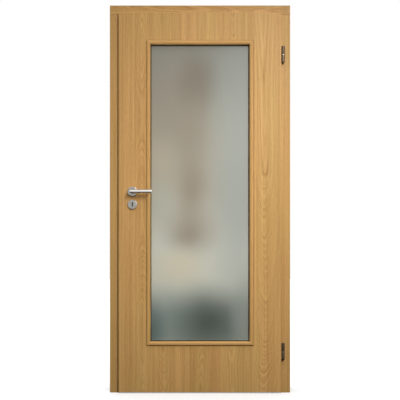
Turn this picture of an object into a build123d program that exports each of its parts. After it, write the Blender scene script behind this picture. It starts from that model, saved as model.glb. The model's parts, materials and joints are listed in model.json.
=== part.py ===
from build123d import *
import os

# Glazed interior door: a rebated leaf on two barrel hinges, in its lining and casings.
# All sizes are in millimetres. X runs across the doorway, Y into the wall, Z up.
# The origin is on the frame's outer face at the hinge side, at the floor and flush with the wall.
# Distances called "half" are counted from the middle of the doorway.

os.makedirs("parts", exist_ok=True)

# Doorway
clear_half = 400.0
clear_height = 1970.0
wall_depth = 120.0

# Lining, and the rebate that the leaf closes into
lining_thickness = 30.0
lining_half = clear_half + lining_thickness
lining_top = clear_height + lining_thickness
stop_y = 17.0
rebate_half = 416.0
rebate_height = 1981.0
middle_x = -lining_half

# Casings
casing_thickness = 12.0
casing_half = 473.0
casing_top = 2031.0
casing_round = 2.0
strike_edge_round = 0.8
back_reveal = 4.0

# Leaf: a narrow part inside the rebate and a wider lip in front of the casing
leaf_front = -31.5
lip_back = -17.0
leaf_back = 8.5
lip_half = 425.0
narrow_half = 410.0
leaf_bottom = 5.0
lip_top = 1990.0
narrow_top = 1975.0
skin = 3.5
skin_round = 1.5
core_front = leaf_front + skin
core_back = leaf_back - skin

# Glazing
bead_width = 21.0
bead_leg = 9.0
bead_proud = 7.0
bead_outer_half = 280.0
bead_outer_bottom = 249.0
bead_outer_top = 1843.0
cut_half = bead_outer_half - bead_width + bead_leg
cut_bottom = bead_outer_bottom + bead_width - bead_leg
cut_top = bead_outer_top - bead_width + bead_leg
leaf_middle = (leaf_front + leaf_back) / 2
glass_thickness = 4.0
glass_gap = 4.0
seal_thickness = 3.0
seal_gap = 1.0
seal_sight = 4.0
bead_depth = leaf_middle - glass_thickness / 2 - seal_thickness - leaf_front

# Lever handle, rose and key escutcheon
backset_half = 352.5
lever_height = 1055.0
key_height = 987.0
rose_radius = 25.0
rose_thickness = 8.0
rose_round = 2.0
lever_radius = 10.0
lever_gap = 0.3
lever_standoff = 48.0
lever_length = 102.0
neck_sink = 4.5
spindle_width = 8.0
spindle_hole_radius = 9.0
keyhole_radius = 4.2
keyhole_slot = 5.0
keyhole_up = 6.5
keyhole_down = 12.0
key_passage = (10.0, 30.0)

# Lock forend, bolts and strike plate
lock_y = -3.5
forend_width = 16.0
forend_height = 235.0
forend_middle = 1007.0
forend_thickness = 3.0
bolt_thickness = 10.0
bolt_length = 25.0
bolt_gap = 0.5
lock_block_z = (880.0, 1135.0)
latch_middle = 1060.0
latch_height = 24.0
dead_middle = 985.0
dead_height = 38.0
strike_width = 22.0
strike_bottom = 940.0
strike_top = 1115.0
strike_thickness = 2.0
strike_gap = 1.0
pocket_depth = 12.0

# Hinges, each split into an upper knuckle on the leaf and a lower one on the frame
pin_half = 434.5
pin_x = middle_x + pin_half
pin_y = -24.0
hinge_splits = {"upper": 1770.0, "lower": 217.0}
knuckle_radius = 9.0
knuckle_height = 45.0
knuckle_foot_radius = 5.5
knuckle_foot_height = 7.0
knuckle_dome = 2.5
washer_thickness = 1.5
pin_radius = 4.0
pin_rise = 28.0
pin_gap = 0.05
stud_gap = 0.1
leaf_stud_radius = 3.0
leaf_stud_length = 45.0
leaf_stud_heights = (12.0, 34.0)
frame_stud_radius = 3.0
frame_stud_length = 38.0
frame_stud_drops = (13.0, 33.0)
frame_stud_direction = (-10.0, 30.0, 0.0)

# Rubber seal on the stop
stop_seal_thickness = 3.0
stop_seal_inset = 1.0
stop_seal_width = 9.0

HINGE = 1
LOCK = -1
side_names = {HINGE: "hinge_side", LOCK: "lock_side"}


def across(side, near, far):
    """Two X places on one side of the doorway, from their distances to its middle."""
    return (middle_x + side * near, middle_x + side * far)


def whole(half):
    """The X places of something that is centred in the doorway."""
    return (middle_x - half, middle_x + half)


def around(middle, width):
    return (middle - width / 2, middle + width / 2)


def block(x, y, z, mode=Mode.ADD):
    """A box between two places along each axis."""
    middle = [(pair[0] + pair[1]) / 2 for pair in (x, y, z)]
    size = [abs(pair[1] - pair[0]) for pair in (x, y, z)]
    with Locations(tuple(middle)):
        Box(*size, mode=mode)


def save(piece, name):
    """Label a finished piece and write its file."""
    piece.part.label = name
    export_step(piece.part, f"parts/{name}.step")


# Recesses shared by pieces that meet at the lock


def strike_recess():
    """The seat of the strike plate and the bolt pockets behind it."""
    block(
        across(LOCK, rebate_half, rebate_half + strike_thickness),
        (-strike_width / 2, strike_width / 2),
        (strike_bottom, strike_top),
        mode=Mode.SUBTRACT,
    )
    for middle, height in ((latch_middle, latch_height), (dead_middle, dead_height)):
        block(
            across(LOCK, rebate_half, rebate_half + pocket_depth),
            around(lock_y, bolt_thickness + 2 * strike_gap),
            around(middle, height + 2 * strike_gap),
            mode=Mode.SUBTRACT,
        )


def lock_recess():
    """The seat of the forend and the hollow behind it for the two bolts."""
    block(
        across(LOCK, narrow_half - forend_thickness, narrow_half),
        around(lock_y, forend_width),
        around(forend_middle, forend_height),
        mode=Mode.SUBTRACT,
    )
    for middle, height in ((latch_middle, latch_height), (dead_middle, dead_height)):
        block(
            across(LOCK, narrow_half - bolt_length - bolt_gap, narrow_half),
            around(lock_y, bolt_thickness + 2 * bolt_gap),
            around(middle, height + 2 * bolt_gap),
            mode=Mode.SUBTRACT,
        )


def handle_holes():
    """Holes through the leaf for the spindle and the key."""
    x = middle_x - backset_half
    spindle_plane = Plane(origin=(x, leaf_front, lever_height), z_dir=(0, 1, 0))
    hole = Cylinder(
        spindle_hole_radius,
        leaf_back - leaf_front,
        align=(Align.CENTER, Align.CENTER, Align.MIN),
        mode=Mode.PRIVATE,
    )
    add(spindle_plane.location * hole, mode=Mode.SUBTRACT)
    block(
        around(x, key_passage[0]),
        (leaf_front, leaf_back),
        around(key_height, key_passage[1]),
        mode=Mode.SUBTRACT,
    )


def stud(place, direction, radius, length, mode=Mode.ADD):
    """A round stud, or the hole for one, from a point on the hinge pin's axis."""
    rod = Cylinder(
        radius,
        length,
        align=(Align.CENTER, Align.CENTER, Align.MIN),
        mode=Mode.PRIVATE,
    )
    add(Plane(origin=place, z_dir=direction).location * rod, mode=mode)


def frame_studs(split, gap=0.0, mode=Mode.ADD):
    for drop in frame_stud_drops:
        place = (pin_x, pin_y, split - drop)
        stud(place, frame_stud_direction, frame_stud_radius + gap, frame_stud_length + gap, mode)


def leaf_studs(split, gap=0.0, mode=Mode.ADD):
    for rise in leaf_stud_heights:
        place = (pin_x, pin_y, split + rise)
        stud(place, (-1, 0, 0), leaf_stud_radius + gap, leaf_stud_length + gap, mode)


# Lining: three plain boards behind the rebate


for side, side_name in side_names.items():
    with BuildPart() as side_lining:
        block(across(side, clear_half, lining_half), (stop_y, wall_depth), (0, clear_height))
    save(side_lining, f"lining_{side_name}")

with BuildPart() as lining_head:
    block(whole(lining_half), (stop_y, wall_depth), (clear_height, lining_top))
save(lining_head, "lining_head")


# Casings: two legs with a head board over them, on both faces of the wall.
# The front ones carry a strip that reaches into the wall and forms the side of the rebate.


def casing_leg(side, y, inner_half, top, face_group, edge_round):
    """One leg, rounded along the two long edges of the face that shows."""
    with BuildPart() as leg:
        block(across(side, inner_half, casing_half), y, (0, top))
        fillet(leg.edges().filter_by(Axis.Z).group_by(Axis.Y)[face_group], edge_round)
        if y[0] < 0:
            block(across(side, rebate_half, lining_half), (0, stop_y), (0, rebate_height))
        if y[0] < 0 and side == LOCK:
            strike_recess()
        if y[0] < 0 and side == HINGE:
            for split in hinge_splits.values():
                frame_studs(split, stud_gap, Mode.SUBTRACT)
    return leg


def casing_head(y, bottom, face_group):
    with BuildPart() as head:
        block(whole(casing_half), y, (bottom, casing_top))
        fillet(head.edges().filter_by(Axis.X).group_by(Axis.Y)[face_group], casing_round)
        if y[0] < 0:
            block(whole(lining_half), (0, stop_y), (rebate_height, lining_top))
    return head


front_y = (-casing_thickness, 0)
back_y = (wall_depth, wall_depth + casing_thickness)
for side, side_name in side_names.items():
    front_round = strike_edge_round if side == LOCK else casing_round
    front_leg = casing_leg(side, front_y, rebate_half, rebate_height, 0, front_round)
    save(front_leg, f"front_casing_{side_name}")
    back_leg = casing_leg(
        side, back_y, clear_half + back_reveal, clear_height + back_reveal, -1, casing_round
    )
    save(back_leg, f"back_casing_{side_name}")
save(casing_head(front_y, rebate_height, 0), "front_casing_head")
save(casing_head(back_y, clear_height + back_reveal, -1), "back_casing_head")


# Rubber seals on the stop


seal_y = (stop_y - stop_seal_thickness, stop_y)
seal_near = clear_half + stop_seal_inset
seal_far = seal_near + stop_seal_width
seal_low = clear_height + stop_seal_inset
seal_high = seal_low + stop_seal_width
for side, side_name in side_names.items():
    with BuildPart() as side_seal:
        block(across(side, seal_near, seal_far), seal_y, (0, seal_low))
    save(side_seal, f"seal_{side_name}")
with BuildPart() as seal_head:
    block(whole(seal_far), seal_y, (seal_low, seal_high))
save(seal_head, "seal_head")


# Leaf core: stiles and rails with the lip, and the block that holds the lock


def stile(side):
    with BuildPart() as upright:
        block(across(side, cut_half, narrow_half), (core_front, core_back), (leaf_bottom, narrow_top))
        block(across(side, cut_half, lip_half), (core_front, lip_back), (leaf_bottom, lip_top))
        if side == LOCK:
            lock_recess()
            handle_holes()
        else:
            for split in hinge_splits.values():
                leaf_studs(split, stud_gap, Mode.SUBTRACT)
    return upright


def lock_section(mode):
    """The length of the lock stile that is a block of its own, for the lock."""
    block(across(LOCK, cut_half, lip_half), (core_front, core_back), lock_block_z, mode=mode)


save(stile(HINGE), "hinge_stile")

with BuildPart() as lock_stile:
    add(stile(LOCK).part)
    lock_section(Mode.SUBTRACT)
save(lock_stile, "lock_stile")

with BuildPart() as lock_block:
    add(stile(LOCK).part)
    lock_section(Mode.INTERSECT)
save(lock_block, "lock_block")

with BuildPart() as top_rail:
    block(whole(cut_half), (core_front, core_back), (cut_top, narrow_top))
    block(whole(cut_half), (core_front, lip_back), (cut_top, lip_top))
save(top_rail, "top_rail")

with BuildPart() as bottom_rail:
    block(whole(cut_half), (core_front, core_back), (leaf_bottom, cut_bottom))
save(bottom_rail, "bottom_rail")


# Veneered skins, cut out for the glass


def leaf_skin(half, y, top, face_group):
    with BuildPart() as board:
        block(whole(half), y, (leaf_bottom, top))
        rim = board.edges().group_by(Axis.Y)[face_group]
        fillet(rim, skin_round)
        block(whole(cut_half), y, (cut_bottom, cut_top), mode=Mode.SUBTRACT)
        handle_holes()
    return board


save(leaf_skin(lip_half, (leaf_front, core_front), lip_top, 0), "front_skin")
save(leaf_skin(narrow_half, (core_back, leaf_back), narrow_top, -1), "back_skin")


# Glazing beads: one section for all eight, mitred where they meet.
# In the section, the first number runs from the sight edge outwards and the second out of the leaf.

bead_section = {
    "sight_edge": 2.5,
    "ridge_start": (8.0, 6.5),
    "ridge": (10.5, bead_proud),
    "ridge_end": (13.0, 6.5),
    "outer_edge": 2.0,
}
bead_middle_height = (bead_outer_bottom + bead_outer_top) / 2
bead_half_height = (bead_outer_top - bead_outer_bottom) / 2


def bead(turn, outer, length_half, face_y, out):
    """One bead, made below the middle of the glass and turned to its side of the opening."""
    centre = Vector(middle_x, face_y, bead_middle_height)
    section_plane = Plane(
        origin=centre + Vector(-length_half, 0, -(outer - bead_width)),
        x_dir=(0, 0, -1),
        z_dir=(1, 0, 0),
    )
    sign = out * section_plane.y_dir.Y
    with BuildPart() as piece:
        with BuildSketch(section_plane):
            with BuildLine():
                start = (bead_section["ridge_start"][0], sign * bead_section["ridge_start"][1])
                ridge = (bead_section["ridge"][0], sign * bead_section["ridge"][1])
                end = (bead_section["ridge_end"][0], sign * bead_section["ridge_end"][1])
                Polyline(
                    end,
                    (bead_width, sign * bead_section["outer_edge"]),
                    (bead_width, 0),
                    (bead_leg, 0),
                    (bead_leg, -sign * bead_depth),
                    (0, -sign * bead_depth),
                    (0, sign * bead_section["sight_edge"]),
                    start,
                )
                ThreePointArc(start, ridge, end)
            make_face()
        extrude(amount=2 * length_half)
        with BuildSketch(Plane(origin=centre, x_dir=(1, 0, 0), z_dir=(0, -1, 0))):
            Polygon(
                (-length_half, -outer),
                (length_half, -outer),
                (length_half - bead_width, bead_width - outer),
                (bead_width - length_half, bead_width - outer),
                align=None,
            )
        extrude(amount=2 * bead_depth, both=True, mode=Mode.INTERSECT)
    return piece.part.rotate(Axis(origin=centre, direction=(0, 1, 0)), turn)


bead_sides = {
    "bottom": (0, bead_half_height, bead_outer_half),
    "top": (180, bead_half_height, bead_outer_half),
    "lock_side": (90, bead_outer_half, bead_half_height),
    "hinge_side": (-90, bead_outer_half, bead_half_height),
}
for face_name, face_y, out in (("front", leaf_front, -1), ("back", leaf_back, 1)):
    for place_name, (turn, outer, length_half) in bead_sides.items():
        bead_part = bead(turn, outer, length_half, face_y, out)
        bead_part.label = f"{face_name}_bead_{place_name}"
        export_step(bead_part, f"parts/{face_name}_bead_{place_name}.step")


# Glass and its two rubber seals


with BuildPart() as glass_pane:
    block(
        whole(cut_half - glass_gap),
        around(leaf_middle, glass_thickness),
        (cut_bottom + glass_gap, cut_top - glass_gap),
    )
save(glass_pane, "glass_pane")

sight_half = bead_outer_half - bead_width - seal_sight
sight_z = (
    bead_outer_bottom + bead_width + seal_sight,
    bead_outer_top - bead_width - seal_sight,
)
for face_name, out in (("front", -1), ("back", 1)):
    glass_face = leaf_middle + out * glass_thickness / 2
    ring_y = (glass_face, glass_face + out * seal_thickness)
    with BuildPart() as glazing_seal:
        block(whole(cut_half - seal_gap), ring_y, (cut_bottom + seal_gap, cut_top - seal_gap))
        block(whole(sight_half), ring_y, sight_z, mode=Mode.SUBTRACT)
    save(glazing_seal, f"{face_name}_glazing_seal")


# Roses, key escutcheons and levers on both faces of the leaf


def face_plane(face_y, out, height):
    """A plane on a face of the leaf, its normal pointing out of the leaf."""
    return Plane(
        origin=(middle_x - backset_half, face_y, height), x_dir=(-out, 0, 0), z_dir=(0, out, 0)
    )


def lever_rose(face_y, out):
    with BuildPart() as rose:
        with BuildSketch(face_plane(face_y, out, lever_height)):
            Circle(rose_radius)
        extrude(amount=rose_thickness)
        fillet(rose.edges().group_by(Axis.Y)[0 if out < 0 else -1], rose_round)
        with BuildSketch(face_plane(face_y, out, lever_height)):
            Circle(lever_radius + lever_gap)
        extrude(amount=rose_thickness, mode=Mode.SUBTRACT)
    return rose


def key_escutcheon(face_y, out):
    plane = face_plane(face_y, out, key_height)
    with BuildPart() as escutcheon:
        with BuildSketch(plane):
            Circle(rose_radius)
        extrude(amount=rose_thickness)
        fillet(escutcheon.edges().group_by(Axis.Y)[0 if out < 0 else -1], rose_round)
        up = 1 if plane.y_dir.Z > 0 else -1
        with BuildSketch(plane):
            with Locations((0, up * keyhole_up)):
                Circle(keyhole_radius)
            with Locations((0, up * (keyhole_up - keyhole_down) / 2)):
                Rectangle(keyhole_slot, keyhole_up + keyhole_down)
        extrude(amount=rose_thickness, mode=Mode.SUBTRACT)
    return escutcheon


def lever(face_y, out):
    """A round bar that leaves the rose, turns a mitred corner and runs across the leaf."""
    start = Vector(middle_x - backset_half, face_y + out * neck_sink, lever_height)
    corner = Vector(start.X, face_y + out * lever_standoff, lever_height)
    tip = corner + Vector(lever_length, 0, 0)
    with BuildPart() as handle:
        with BuildLine():
            path = Polyline(start, corner, tip)
        with BuildSketch(Plane(origin=start, z_dir=(0, out, 0))):
            Circle(lever_radius)
        sweep(path=path, transition=Transition.RIGHT)
        fillet(handle.edges().sort_by(Axis.X)[-1], 1.0)
    return handle


for face_name, face_y, out in (("front", leaf_front, -1), ("back", leaf_back, 1)):
    save(lever_rose(face_y, out), f"{face_name}_lever_rose")
    save(key_escutcheon(face_y, out), f"{face_name}_key_escutcheon")
    save(lever(face_y, out), f"{face_name}_lever")

with BuildPart() as lever_spindle:
    block(
        around(middle_x - backset_half, spindle_width),
        (leaf_front - neck_sink, leaf_back + neck_sink),
        around(lever_height, spindle_width),
    )
save(lever_spindle, "lever_spindle")


# Lock: forend, bolts and strike plate

with BuildPart() as lock_forend:
    block(
        across(LOCK, narrow_half - forend_thickness, narrow_half),
        around(lock_y, forend_width),
        around(forend_middle, forend_height),
    )
    for middle, height in ((latch_middle, latch_height), (dead_middle, dead_height)):
        block(
            across(LOCK, narrow_half - forend_thickness, narrow_half),
            around(lock_y, bolt_thickness + 2 * bolt_gap),
            around(middle, height + 2 * bolt_gap),
            mode=Mode.SUBTRACT,
        )
save(lock_forend, "lock_forend")

for bolt_name, middle, height in (
    ("latch_bolt", latch_middle, latch_height),
    ("dead_bolt", dead_middle, dead_height),
):
    with BuildPart() as bolt:
        block(
            across(LOCK, narrow_half - bolt_length, narrow_half),
            around(lock_y, bolt_thickness),
            around(middle, height),
        )
    save(bolt, bolt_name)

with BuildPart() as strike_plate:
    block(
        across(LOCK, rebate_half, rebate_half + strike_thickness),
        (-strike_width / 2, strike_width / 2),
        (strike_bottom, strike_top),
    )
    for middle, height in ((latch_middle, latch_height), (dead_middle, dead_height)):
        block(
            across(LOCK, rebate_half, rebate_half + strike_thickness),
            around(lock_y, bolt_thickness + 2 * strike_gap),
            around(middle, height + 2 * strike_gap),
            mode=Mode.SUBTRACT,
        )
save(strike_plate, "strike_plate")


# Hinges. Each profile is drawn beside the pin's axis and turned about it.


def turned(split, points):
    """A round body about the pin, from its radius and height at each corner."""
    with BuildPart() as body:
        with BuildSketch(Plane(origin=(pin_x, pin_y, split), x_dir=(1, 0, 0), z_dir=(0, -1, 0))):
            with BuildLine():
                Polyline(*points, close=True)
            make_face()
        revolve(axis=Axis(origin=(pin_x, pin_y, 0), direction=(0, 0, 1)))
    return body.part


for place_name, split in hinge_splits.items():
    with BuildPart() as frame_knuckle:
        add(
            turned(
                split,
                (
                    (0, -knuckle_height),
                    (knuckle_foot_radius, -knuckle_height),
                    (knuckle_radius, knuckle_foot_height - knuckle_height),
                    (knuckle_radius, -washer_thickness),
                    (pin_radius, -washer_thickness),
                    (pin_radius, pin_rise),
                    (0, pin_rise),
                ),
            )
        )
        frame_studs(split)
    save(frame_knuckle, f"{place_name}_hinge_frame_knuckle")

    with BuildPart() as leaf_knuckle:
        with BuildSketch(Plane.XY.offset(split + pin_gap)):
            with Locations((pin_x, pin_y)):
                Circle(knuckle_radius)
        extrude(amount=knuckle_height)
        fillet(leaf_knuckle.edges().sort_by(Axis.Z)[-1], knuckle_dome)
        leaf_studs(split)
        with BuildSketch(Plane.XY.offset(split)):
            with Locations((pin_x, pin_y)):
                Circle(pin_radius + pin_gap)
        extrude(amount=pin_rise + 1, mode=Mode.SUBTRACT)
    save(leaf_knuckle, f"{place_name}_hinge_leaf_knuckle")

with BuildPart() as hinge_washers:
    for split in hinge_splits.values():
        with BuildSketch(Plane.XY.offset(split - washer_thickness)):
            with Locations((pin_x, pin_y)):
                Circle(knuckle_radius)
                Circle(pin_radius + pin_gap, mode=Mode.SUBTRACT)
        extrude(amount=washer_thickness)
save(hinge_washers, "hinge_washers")
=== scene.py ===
"""Finishes a rebated oak door with satin glass in its frame, and sets up the stage around it."""

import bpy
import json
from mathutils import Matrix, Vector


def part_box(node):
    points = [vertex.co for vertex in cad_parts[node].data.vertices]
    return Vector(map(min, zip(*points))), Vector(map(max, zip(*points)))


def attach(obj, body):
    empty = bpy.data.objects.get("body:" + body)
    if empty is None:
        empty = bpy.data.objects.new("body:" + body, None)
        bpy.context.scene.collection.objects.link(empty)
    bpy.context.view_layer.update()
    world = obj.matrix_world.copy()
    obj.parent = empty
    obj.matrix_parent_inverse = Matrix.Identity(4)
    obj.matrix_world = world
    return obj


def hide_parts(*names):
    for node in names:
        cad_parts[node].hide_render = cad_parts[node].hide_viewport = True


bl_info = {
    "name": "Glazed Oak Door",
    "version": (1, 0, 0),
    "blender": (4, 5, 0),
    "location": "3D View > Sidebar > Door",
    "description": "Oak veneer, satin glass, steel furniture and rubber seals for an interior door",
    "category": "Object",
}

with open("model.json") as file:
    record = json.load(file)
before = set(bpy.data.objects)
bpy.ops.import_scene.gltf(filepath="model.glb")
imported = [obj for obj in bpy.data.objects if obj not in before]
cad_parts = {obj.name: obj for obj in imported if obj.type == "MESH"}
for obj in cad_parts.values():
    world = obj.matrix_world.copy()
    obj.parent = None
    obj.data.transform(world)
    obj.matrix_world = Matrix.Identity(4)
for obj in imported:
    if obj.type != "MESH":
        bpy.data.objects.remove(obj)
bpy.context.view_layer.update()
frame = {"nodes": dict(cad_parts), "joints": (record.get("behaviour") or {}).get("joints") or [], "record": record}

import json
from math import asin, cos, pi, radians, sin, sqrt, tan

import bmesh
import bpy
from bpy.props import FloatProperty, FloatVectorProperty, PointerProperty
from bpy.types import Operator, Panel, PropertyGroup
from mathutils import Matrix, Vector

NODES = frame["nodes"]
JOINTS = {joint["name"]: joint for joint in frame["joints"]}
FACES = {"front": -1, "back": 1}
ACROSS = Vector((1, 0, 0))
INWARD = Vector((0, 1, 0))
UP = Vector((0, 0, 1))
LENGTH = {"subtype": "DISTANCE", "unit": "LENGTH"}
POWER = {"subtype": "POWER", "unit": "POWER"}
SHARE = {"subtype": "FACTOR", "min": 0.0, "max": 1.0}


def centre_of(node):
    low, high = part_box(node)
    return (low + high) / 2


def size_of(node):
    low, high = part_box(node)
    return high - low


def slot_colour(slot):
    """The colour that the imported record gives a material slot."""
    for material in frame["record"]["materials"]:
        if material["slot"] == slot:
            return tuple(material["base_color"][:3])
    raise ValueError(f"the record has no material slot {slot}")


DOOR_MIDDLE = centre_of("glass_pane")
HINGE_AXIS = Vector(JOINTS["leaf_swing"]["pos_m"])
LEVER_AXIS = Vector(JOINTS["lever_turn"]["pos_m"])
LEAF_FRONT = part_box("front_skin")[0].y
LEAF_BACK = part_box("back_skin")[1].y
LEAF_FACE = {"front": LEAF_FRONT, "back": LEAF_BACK}
# How much of a bead's width reaches into the leaf
BEAD_LEG = 0.009


def setting(name, description, default, **kind):
    """A number that a user may change."""
    return FloatProperty(name=name, description=description, default=default, **kind)


def colour_setting(name, description, default):
    """A colour that a user may change."""
    return FloatVectorProperty(
        name=name,
        description=description,
        default=default,
        subtype="COLOR",
        size=3,
        min=0.0,
        max=1.0,
    )


class DoorOakSettings(PropertyGroup):
    light: colour_setting(
        "Late wood", "Colour of the smooth wood between the pores", (0.655, 0.392, 0.138)
    )
    dark: colour_setting(
        "Early wood", "Colour of the porous part of each ring", (0.400, 0.203, 0.058)
    )
    pore: colour_setting("Pores", "Colour of the open pores", (0.235, 0.110, 0.036))
    rings: setting(
        "Rings per metre", "How many growth rings a metre of the log had", 290.0, min=50.0
    )
    relief: setting("Relief", "Depth of the open grain", 0.00025, **LENGTH)


class DoorGlassSettings(PropertyGroup):
    # The tones and the patches are painted light and shade: they stand for a blurred room behind the satin glass
    # and stay the same whatever stands there
    top: colour_setting("Top tone", "Tone of the satin glass near its top", (0.275, 0.275, 0.230))
    middle: colour_setting(
        "Middle tone", "Tone of the satin glass half way up", (0.420, 0.388, 0.308)
    )
    lower: colour_setting(
        "Lower tone", "Tone of the satin glass above its foot", (0.590, 0.590, 0.500)
    )
    foot: colour_setting(
        "Foot tone", "Tone of the satin glass near its foot", (0.235, 0.280, 0.245)
    )
    # cloud sets how strongly the patches of painted light and shade show
    cloud: setting(
        "Painted light patches", "How strongly the blurred patches show in the satin glass", 1.0, **SHARE
    )


class DoorMetalSettings(PropertyGroup):
    steel: colour_setting(
        "Satin steel", "Colour of the levers, roses and lock plates", slot_colour("handle_steel")
    )
    hinge: colour_setting(
        "Hinge metal",
        "Colour of the dark hinge barrels",
        [value * 0.5 for value in slot_colour("hinge_bronze")],
    )
    washer: colour_setting(
        "Hinge washers", "Colour of the light rings in the hinges", slot_colour("hinge_washer")
    )
    # Painted shade: the roses and key plates are made darker than the same steel in the lever bars
    plate: setting(
        "Plate tone", "Tone of the roses and escutcheons against the lever bars", 0.62, **SHARE
    )


class DoorStageSettings(PropertyGroup):
    distance: setting("Camera distance", "From the camera to the face of the leaf", 4.2, **LENGTH)
    eye: setting("Eye height", "Height of the camera over the floor", 1.010, **LENGTH)
    view_width: setting(
        "View width", "What the picture takes in at the face of the leaf", 2.089, **LENGTH
    )
    key: setting("Key light", "Power of the lamp at the upper right", 11.3, **POWER)
    fill: setting("Fill light", "Strength of the soft light from above", 1.95)
    rear: setting("Rear light", "Power of the lamp behind the door", 60.0, **POWER)


class Wiring:
    """Adds linked shader or geometry nodes to a tree in short calls."""

    def __init__(self, tree, prefix="ShaderNode"):
        self.tree = tree
        self.prefix = prefix

    def add(self, kind, settings=None, **sockets):
        """A node of a kind. Each socket is named with underscores for its spaces."""
        node = self.tree.nodes.new(self.prefix + kind)
        for key, value in (settings or {}).items():
            setattr(node, key, value)
        for key, value in sockets.items():
            self.feed(node.inputs[key.replace("_", " ")], value)
        return node

    def feed(self, socket, value):
        if isinstance(value, bpy.types.NodeSocket):
            self.tree.links.new(value, socket)
        else:
            socket.default_value = value

    def fill(self, node, *values):
        """Feeds a node's first inputs in turn, and gives its first output."""
        for socket, value in zip(node.inputs, values):
            self.feed(socket, value)
        return node.outputs[0]

    def place(self):
        """The place of a point in the object, in metres."""
        return self.add("TexCoord").outputs["Object"]

    def math(self, operation, *values, clamp=False):
        node = self.tree.nodes.new("ShaderNodeMath")
        node.operation = operation
        node.use_clamp = clamp
        return self.fill(node, *values)

    def times(self, first, second):
        return self.math("MULTIPLY", first, second)

    def swing(self, noise, amount, base, clamp=False):
        """A value that a noise pushes up and down about its middle, 0.5."""
        centred = self.math("SUBTRACT", noise, 0.5)
        return self.math("MULTIPLY_ADD", centred, amount, base, clamp=clamp)

    def stretch(self, vector, factors, shift=(0, 0, 0)):
        """The vector times one factor for each axis, and then moved."""
        node = self.add("VectorMath", {"operation": "MULTIPLY_ADD"})
        return self.fill(node, vector, factors, shift)

    def noise(self, vector, detail=2.0, roughness=0.5):
        return self.add(
            "TexNoise", Vector=vector, Scale=1.0, Detail=detail, Roughness=roughness
        ).outputs["Fac"]

    def vector(self, x, y, z):
        return self.fill(self.tree.nodes.new("ShaderNodeCombineXYZ"), x, y, z)

    def span(self, value, low, high, new_low=0.0, new_high=1.0, smooth=False):
        """The value mapped from one range to another, and clamped."""
        node = self.add("MapRange", {"interpolation_type": "SMOOTHSTEP" if smooth else "LINEAR"})
        return self.fill(node, value, low, high, new_low, new_high)

    def mix(self, factor, first, second, blend="MIX"):
        """Two colours mixed."""
        node = self.add("Mix", {"data_type": "RGBA", "blend_type": blend})
        self.feed(node.inputs[0], factor)
        for socket, value in zip((node.inputs[6], node.inputs[7]), (first, second)):
            if not isinstance(value, bpy.types.NodeSocket):
                value = (*value[:3], 1.0)
            self.feed(socket, value)
        return node.outputs[2]

    def steps(self, value, edges, levels):
        """The first level, and each next one past each edge."""
        total = levels[0]
        for edge, before, after in zip(edges, levels, levels[1:]):
            past = self.math("GREATER_THAN", value, edge)
            total = self.math("MULTIPLY_ADD", past, after - before, total)
        return total


def new_material(name):
    """A material with an empty node tree, its wiring and its output node."""
    material = bpy.data.materials.new(name)
    material.use_nodes = True
    material.node_tree.nodes.clear()
    wiring = Wiring(material.node_tree)
    return material, wiring, wiring.add("OutputMaterial")


def add_sockets(tree, in_out, sockets):
    """Gives a node group its inputs or outputs, each with its kind."""
    for name, kind in sockets:
        tree.interface.new_socket(name, in_out=in_out, socket_type="NodeSocket" + kind)


def end_in_shader(w, output, **sockets):
    """Ends a material in a principled shader with these inputs."""
    shader = w.add("BsdfPrincipled", **sockets)
    w.feed(output.inputs["Surface"], shader.outputs[0])


def dress(material, *nodes):
    """Gives CAD nodes their material."""
    for node in nodes:
        mesh = NODES[node].data
        mesh.materials.clear()
        mesh.materials.append(material)


def link_object(name, data):
    """A new object in the scene."""
    thing = bpy.data.objects.new(name, data)
    bpy.context.scene.collection.objects.link(thing)
    return thing


def mesh_of(name, shape):
    """Turns a bmesh into a mesh and frees it."""
    mesh = bpy.data.meshes.new(name)
    shape.to_mesh(mesh)
    shape.free()
    return mesh


# Oak


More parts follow.
